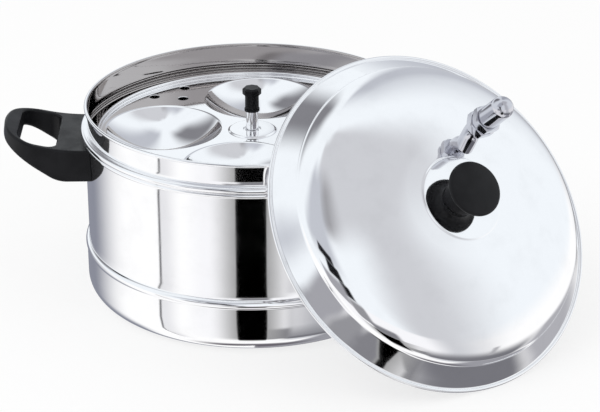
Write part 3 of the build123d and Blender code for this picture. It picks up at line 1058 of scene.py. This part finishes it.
    def surface(self) -> Surface:
        """The whole plate, its web's top face at Z = 0 and its first cup along +X.

        Midway between two cups are a steam hole on the inner ring and two on the outer one.

        Returns:
            The surface.
        """
        cup, hole = self.cup(), self.steam_hole()
        quarter = 360 / self.cup_count
        places = [(cup, self.cup_ring, quarter * count) for count in range(self.cup_count)]
        for count in range(self.cup_count):
            middle = quarter * (count + 0.5)
            inner_ring, outer_ring = self.steam_rings
            places.append((hole, inner_ring, middle))
            for spread in (-self.steam_spread, self.steam_spread):
                places.append((hole, outer_ring, middle + spread))
        patches = [self.hub()]
        for patch, distance, bearing in places:
            angle = math.radians(bearing)
            spot = (distance * math.cos(angle), distance * math.sin(angle))
            moved = patch.surface.moved(np.eye(3), (*spot, 0.0))
            patches.append(Patch(moved, patch.radius, patch.segments, spot))
        patches.append(self.rim())
        return self.web(patches).joined(*(patch.surface for patch in patches))


@dataclass
class Stand:
    """The stand's foot, rod and spacers, and where its plates lie."""

    floor: float = 0.8
    base_radius: float = 30.0
    base_height: float = 7.0
    base_sheet: float = 1.0
    base_round: float = 3.0
    rod_radius: float = 4.05
    rod_wall: float = 0.9
    rod_top: float = 122.3
    spacer_radius: float = 6.5
    spacer_gap: float = 0.1
    plate_count: int = 4
    plate_pitch: float = 25.0
    top_level: float = 108.3
    plate_turn: float = -6.0
    plate_stagger: float = 45.0
    segments: int = 64

    def level(self, number: int) -> float:
        """The height of a plate's web, the plates being numbered from the lowest."""
        return self.top_level - (self.plate_count - number) * self.plate_pitch

    def turn(self, number: int) -> float:
        """How far a plate is turned, in degrees; every other one has the stagger too."""
        return self.plate_turn + self.plate_stagger * ((self.plate_count - number) % 2)

    def tube(self, outer: float, inner: float, bottom: float, top: float) -> Surface:
        """A tube on the Z axis, whose edges are rounded to a quarter of its wall.

        Args:
            outer: its outer radius.
            inner: its bore's radius.
            bottom: its lower end.
            top: its upper end.

        Returns:
            The surface.
        """
        edge = (outer - inner) / 4
        inset = edge * ARC_INSET
        run = Outline(inner, bottom + edge)
        run.arc((inner + inset, bottom + inset), (inner + edge, bottom))
        run.line(outer - edge, bottom).bend(outer, bottom + edge)
        run.line(outer, top - edge).bend(outer - edge, top)
        run.line(inner + edge, top).bend(inner, top - edge)
        return turned_surface(run.points, self.segments, closed=True)

    def foot(self) -> Surface:
        """The pressed round foot: up its side, round a corner and over its top to the rod.

        Returns:
            The surface.
        """
        top = self.floor + self.base_height
        outer = Outline(self.base_radius, self.floor).line(self.base_radius, top - self.base_round)
        outer.bend(self.base_radius - self.base_round, top).line(self.rod_radius, top)
        inner = other_face(outer.points, self.base_sheet)
        return turned_surface(np.vstack([outer.points, inner]), self.segments, closed=True)


class StandAssembly(Assembly):
    """The stand with its plates, spacers and lifting knob."""

    def build(self) -> None:
        """Make the plates, spacers, rod and foot, and dress the lifting knob and its stud."""
        stand, plate, steel = Stand(), Plate(), self.finishes.steel
        pressed = plate.surface()
        bore = stand.rod_radius + stand.spacer_gap
        for number in range(1, stand.plate_count + 1):
            level = stand.level(number)
            turned = pressed.moved(turn_about_z(stand.turn(number)), (0, 0, level))
            self.place(
                turned, f"pressed_plate_{number}", f"idli_plate_{number}", f"plate_{number}", steel
            )
            top = level + plate.hub_rise - plate.sheet
            if number > 1:
                bottom, body = stand.level(number - 1) + plate.hub_rise, f"lift_{number}"
            else:
                bottom, body = stand.floor + stand.base_height, "stand"
            spacer = stand.tube(stand.spacer_radius, bore, bottom, top)
            self.place(spacer, f"spacer_tube_{number}", f"spacer_{number}", body, steel)
        rod_bottom = stand.floor + stand.base_height - stand.base_sheet
        rod_bore = stand.rod_radius - stand.rod_wall
        rod = stand.tube(stand.rod_radius, rod_bore, rod_bottom, stand.rod_top)
        self.place(rod, "centre_tube", "stand_rod", "stand", steel)
        self.place(stand.foot(), "pressed_foot", "stand_base", "stand", steel)
        self.dress(steel, "stem_stud")
        self.dress(self.finishes.bakelite, "stem_knob")


# The camera and the studio


@dataclass
class Shot:
    """The camera, as fitted to the photograph's frame, its yaw and pitch in degrees."""

    position: Triple = (0.0, -1.2249, 0.6086)
    yaw: float = 1.48
    pitch: float = -24.41
    lens: float = 119.7

    def build(self) -> None:
        """Create the camera and look through it."""
        data = bpy.data.cameras.new("camera")
        data.lens = self.lens
        data.dof.use_dof = False
        camera = linked("camera", data)
        yaw, pitch = math.radians(self.yaw), math.radians(self.pitch)
        ahead = Vector((
            math.sin(yaw) * math.cos(pitch), math.cos(yaw) * math.cos(pitch), math.sin(pitch)
        ))
        camera.rotation_mode = "QUATERNION"
        camera.rotation_quaternion = ahead.to_track_quat("-Z", "Y")
        camera.location = self.position
        bpy.context.scene.camera = camera


@dataclass(frozen=True)
class Panel:
    """A soft-edged panel of the tent.

    Bearings are degrees, 0 towards the camera and growing to the right, and heights are degrees
    over the horizon. Each holds where the panel starts, is full, is last full and ends.
    """

    bearings: tuple[float, float, float, float]
    heights: tuple[float, float, float, float]
    colour: Colour

    def mask(self, bearing: Socket, height: Socket) -> Value:
        """How fully the panel shows in a direction.

        Args:
            bearing: the direction's bearing.
            height: its height.

        Returns:
            A value from 0 to 1.
        """
        shown = 1.0
        for value, (start, full, last, end) in ((bearing, self.bearings), (height, self.heights)):
            shown = shown * value.step(start, full) * value.step(end, last)
        return shown


@dataclass(frozen=True)
class Lamp:
    """A soft square lamp that faces the object."""

    name: str
    place: Triple
    side: float
    power: float

    def hang(self) -> None:
        """Make the lamp, which polished metal doesn't mirror."""
        data = bpy.data.lights.new(self.name, "AREA")
        data.size, data.energy = self.side, self.power
        lamp = linked(self.name, data)
        lamp.location = self.place
        lamp.rotation_euler = (-Vector(self.place)).to_track_quat("-Z", "Y").to_euler()
        lamp.visible_glossy = False


@dataclass(frozen=True)
class Studio:
    """A pale floor, a white tent that polished steel mirrors, and two soft lamps.

    The panels are laid over the tent in order: grey folds and dim corners, the dim back, the
    dark strips, the dim underside, and last the seams and the dark slot that faces the steel
    from under the camera.
    """

    plain: float = 0.82
    mirrored_white: float = 1.08
    white: Colour = (0.88, 0.92, 0.955)
    low_white: Colour = (1.0, 1.0, 1.0)
    tent_foot: Pair = (-4.0, 4.0)
    panels: tuple[Panel, ...] = (
        Panel((16, 36, 42, 78), (-60, -50, 60, 72), (0.60, 0.61, 0.64)),
        Panel((-44, -8, 84, 118), (40, 56, 84, 90), (0.60, 0.61, 0.64)),
        Panel((-26, -10, 2, 16), (44, 54, 64, 78), (0.35, 0.35, 0.37)),
        Panel((-72, -48, -18, 2), (18, 34, 66, 80), (0.53, 0.55, 0.60)),
        Panel((-170, -151, -138, -104), (14, 28, 54, 73), (0.22, 0.22, 0.24)),
        Panel((124, 158, 168, 182), (-20, 0, 60, 78), (0.50, 0.52, 0.57)),
        Panel((140, 160, 181, 182), (-60, -50, -22, 2), (0.12, 0.12, 0.14)),
        Panel((-50, -33, 28, 46), (-49, -22, 0, 4), (0.93, 0.93, 0.95)),
        Panel((-42, -39, -21, -17), (24, 26, 30, 32), (0.01, 0.01, 0.012)),
        Panel((-33, -30, -17, -13), (14, 16, 24, 26), (0.01, 0.01, 0.012)),
        Panel((-23, -20, -13, -9), (3, 5, 14, 16), (0.01, 0.01, 0.012)),
        Panel((-50, -42, -22, -16), (-8, -3, 10, 16), (0.36, 0.36, 0.39)),
        Panel((-22, -17, -8, -4), (-18, -13, 0, 6), (0.29, 0.29, 0.31)),
        Panel((-12, -7, 8, 13), (-22.6, -22.0, -14, -9), (0.22, 0.22, 0.24)),
        Panel((4, 9, 22, 28), (-42, -38, -30, -28.5), (0.19, 0.19, 0.21)),
        Panel((19, 26, 88, 106), (-47, -44, -38, -20), (0.18, 0.18, 0.20)),
        Panel((92, 108, 140, 152), (-44, -40, -28, -20), (0.42, 0.42, 0.45)),
        Panel((46, 64, 200, 210), (-91, -90, -48, -43), (0.32, 0.32, 0.35)),
        Panel((-150, -135, 200, 210), (-91, -90, -80, -66), (0.14, 0.13, 0.15)),
        Panel((-181, -180, -146, -96), (-60, -50, -5, 4), (0.25, 0.26, 0.31)),
        Panel((-32, -9, 6, 30), (-50, -32, -21.4, -20), (0.36, 0.36, 0.36)),
        Panel((-67.5, -66.5, -64, -50), (-60, -50, -19, -15), (0.80, 0.80, 0.82)),
        Panel((-68.6, -67.6, -66.8, -66.0), (-60, -50, -19, -15), (0.16, 0.16, 0.17)),
        Panel((63, 65.5, 66.5, 69), (-34, -33, -20, -16), (0.42, 0.42, 0.44)),
        Panel((-12.3, -11.8, 8.5, 9.0), (-52, -40, -21.8, -21.2), (0.0, 0.0, 0.0)),
    )
    floor_size: float = 6.0
    floor_drop: float = 0.0002
    floor_glow: float = 0.72
    floor_white: Colour = (0.96, 0.96, 0.96)
    lamps: tuple[Lamp, ...] = (
        Lamp("key_lamp", (-1.3, -0.9, 1.9), 1.5, 14.0),
        Lamp("fill_lamp", (1.7, -1.2, 1.4), 1.2, 6.0),
    )

    def build(self) -> None:
        """Set the view transform and make the world, the floor and the lamps."""
        bpy.context.scene.view_settings.view_transform = "Standard"
        self.make_world()
        self.make_floor()
        for lamp in self.lamps:
            lamp.hang()

    def make_world(self) -> None:
        """Make the world: white to the eye, a tent to polished metal, plain light otherwise."""
        world = bpy.data.worlds.new("studio")
        bpy.context.scene.world = world
        graph = Graph(world)
        tent, plain, white = (
            graph.node("Background", {"Color": colour, "Strength": strength})
            for colour, strength in (
                (self.tent(graph), self.mirrored_white),
                (PURE_WHITE, self.plain),
                (PURE_WHITE, 1.0),
            )
        )
        glossy = graph.node("LightPath", output="Is Glossy Ray")
        seen = graph.node("LightPath", output="Is Camera Ray")
        unseen = graph.node("MixShader", {0: glossy, 1: plain, 2: tent})
        shown = graph.node("MixShader", {0: seen, 1: unseen, 2: white})
        graph.node("OutputWorld", {"Surface": shown})

    def tent(self, graph: Graph) -> Socket:
        """The colour of the tent by direction.

        The bearing is the angle whose tangent is X over -Y, and the height's sine is Z.

        Args:
            graph: the world's nodes.

        Returns:
            The colour.
        """
        direction = graph.node("TexCoord", output="Generated")
        sides = [
            graph.node("SeparateXYZ", {"Vector": direction}, output=axis)
            for axis in range(3)
        ]
        bearing = sides[0].angle_with(sides[1] * -1.0) * math.degrees(1)
        height = sides[2].elevation() * math.degrees(1)
        colour = graph.mixed(height.step(*self.tent_foot), self.low_white, self.white)
        for panel in self.panels:
            colour = graph.mixed(panel.mask(bearing, height), colour, panel.colour)
        return colour

    def make_floor(self) -> None:
        """Make the pale floor, which keeps the object's soft shadow and stays out of the steel."""
        half = self.floor_size / 2
        mesh = bpy.data.meshes.new("floor")
        spots = ((-half, -half), (half, -half), (half, half), (-half, half))
        corners = [(x, y, -self.floor_drop) for x, y in spots]
        mesh.from_pydata(corners, [], [(0, 1, 2, 3)])
        material = bpy.data.materials.new("pale_floor")
        graph = Graph(material)
        matt = graph.node("BsdfDiffuse", {"Color": (*self.floor_white, 1.0)})
        glow = graph.node("Emission", {"Color": PURE_WHITE})
        seen = graph.node("LightPath", output="Is Camera Ray")
        shown = graph.node("MixShader", {0: seen * self.floor_glow, 1: matt, 2: glow})
        graph.node("OutputMaterial", {"Surface": shown})
        mesh.materials.append(material)
        floor = linked("floor", mesh)
        floor.visible_glossy = False


def main() -> None:
    """Build every assembly in order and report the pieces."""
    logging.basicConfig(level=logging.INFO, format="%(message)s")
    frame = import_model()
    finishes = Finishes(
        steel=PolishedSteel("polished_steel").material(),
        # the pot's steel, darker where faces look at the Z axis: painted shade inside the pot
        inside_shaded=PolishedSteel("inside_shaded_steel", inner_side=(0.48, 0.45, 0.44)).material(),
        plated=PolishedSteel(
            "plated_brass", tint=(0.62, 0.62, 0.66), stain=(0.50, 0.50, 0.54)
        ).material(),
        bakelite=MouldedBakelite("black_bakelite").material(),
    )
    Shot().build()
    Studio().build()
    for assembly in (PotAssembly, LidAssembly, StandAssembly):
        assembly(frame["nodes"], finishes).build()


if __name__ == "__main__":
    main()
